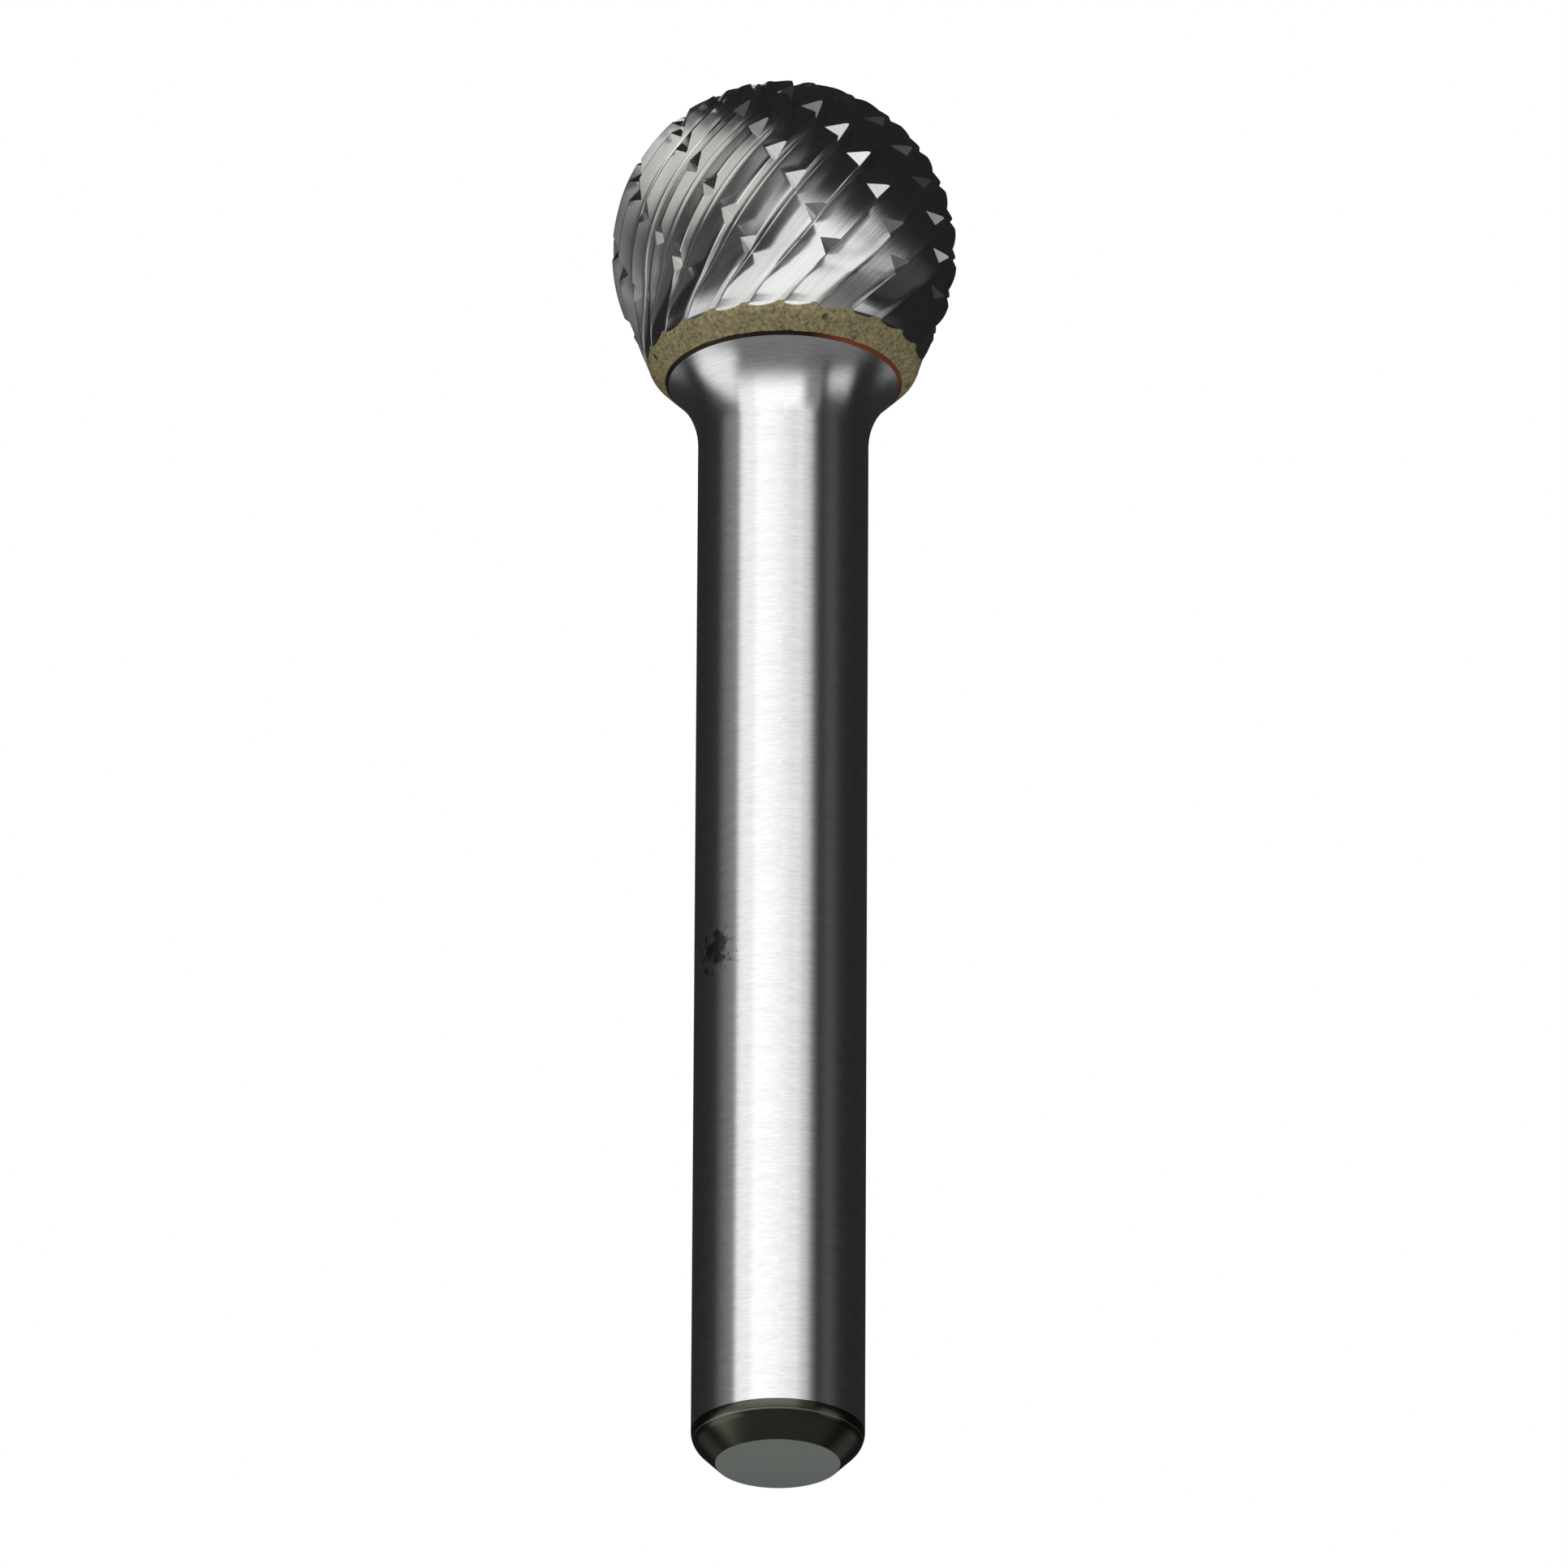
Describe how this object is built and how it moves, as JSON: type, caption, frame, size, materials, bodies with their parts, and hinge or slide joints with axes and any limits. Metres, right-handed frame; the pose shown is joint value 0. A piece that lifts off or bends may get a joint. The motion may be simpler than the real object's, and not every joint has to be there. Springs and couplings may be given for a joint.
{
  "type": "carbide burr",
  "caption": "Double-cut carbide ball burr brazed to a plain cylindrical steel shank, for a die grinder.",
  "frame": {"origin": "centre of the flat at the shank's free end, on the tool's axis", "axes": "+Z along the axis from the shank's end to the pole of the ball; the teeth repeat every 30 degrees, and one tooth's edge crosses the equator 5.5 degrees from -Y towards +X"},
  "size_m": [0.0128, 0.0128, 0.0557],
  "materials": {
    "carbide": "ground",
    "braze": "satin",
    "steel": "ground"
  },
  "bodies": {
    "root": {"carbide_head": "carbide", "braze_joint": "braze", "steel_shank": "steel"}
  },
  "joints": []
}
